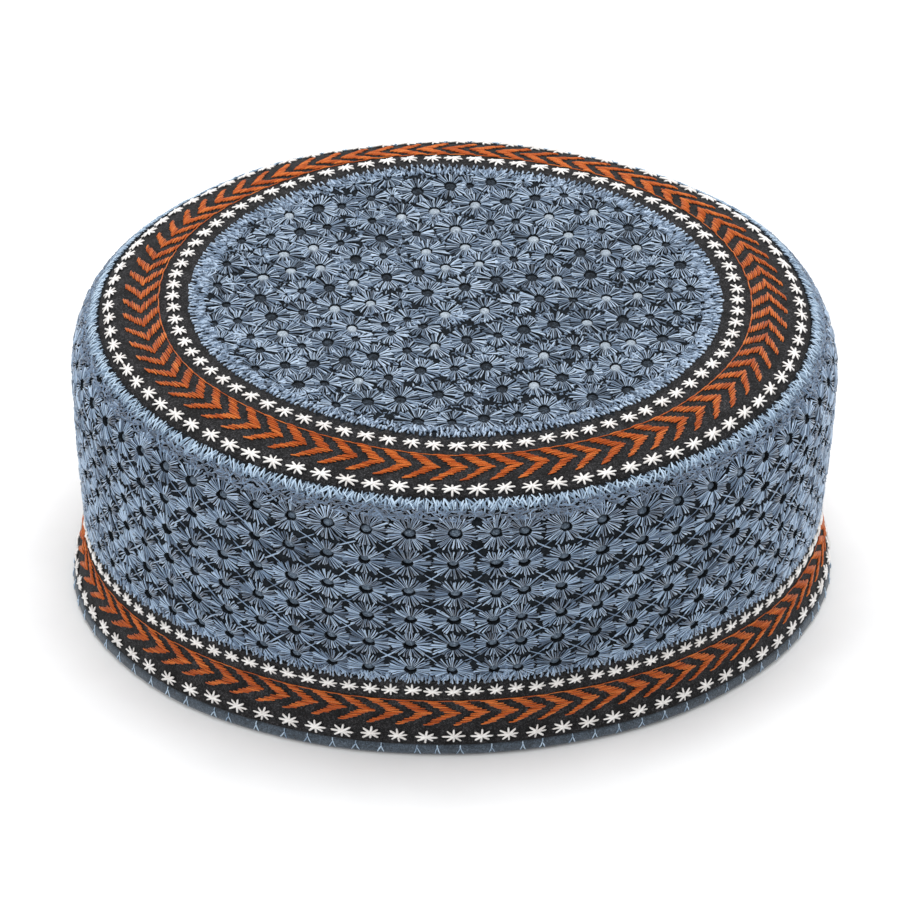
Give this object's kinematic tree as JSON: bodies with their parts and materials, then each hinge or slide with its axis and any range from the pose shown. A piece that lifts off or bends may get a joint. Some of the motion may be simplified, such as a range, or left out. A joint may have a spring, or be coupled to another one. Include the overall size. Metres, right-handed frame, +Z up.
{
  "type": "prayer cap",
  "caption": "Round flat-topped cloth cap with an upright embroidered wall, chevron and star borders, an overcast shoulder seam and a felt lining folded out at the rim.",
  "frame": {"origin": "under the middle of the rim, on the surface the cap rests on", "axes": "+X along the cap's slightly longer width, +Y along its shorter width, +Z up through the crown"},
  "size_m": [0.1958, 0.1928, 0.0801],
  "materials": {
    "black_felt": "matt felted wool, black",
    "lining_felt": "matt felted wool, blue-grey",
    "orange_thread": "satin-stitched embroidery thread, burnt orange",
    "pale_blue_thread": "overcast embroidery thread, pale blue, slightly shiny",
    "blue_thread": "eyelet embroidery in dusty blue thread on black cloth",
    "white_thread": "star stitches in off-white thread"
  },
  "bodies": {
    "root": {"crown_panel": "black_felt", "crown_lining": "lining_felt", "crown_chevrons": "orange_thread", "crown_edging": "pale_blue_thread", "side_wall": "blue_thread", "wall_lining": "lining_felt", "hem_band": "black_felt", "band_chevrons": "orange_thread"}
  },
  "joints": []
}
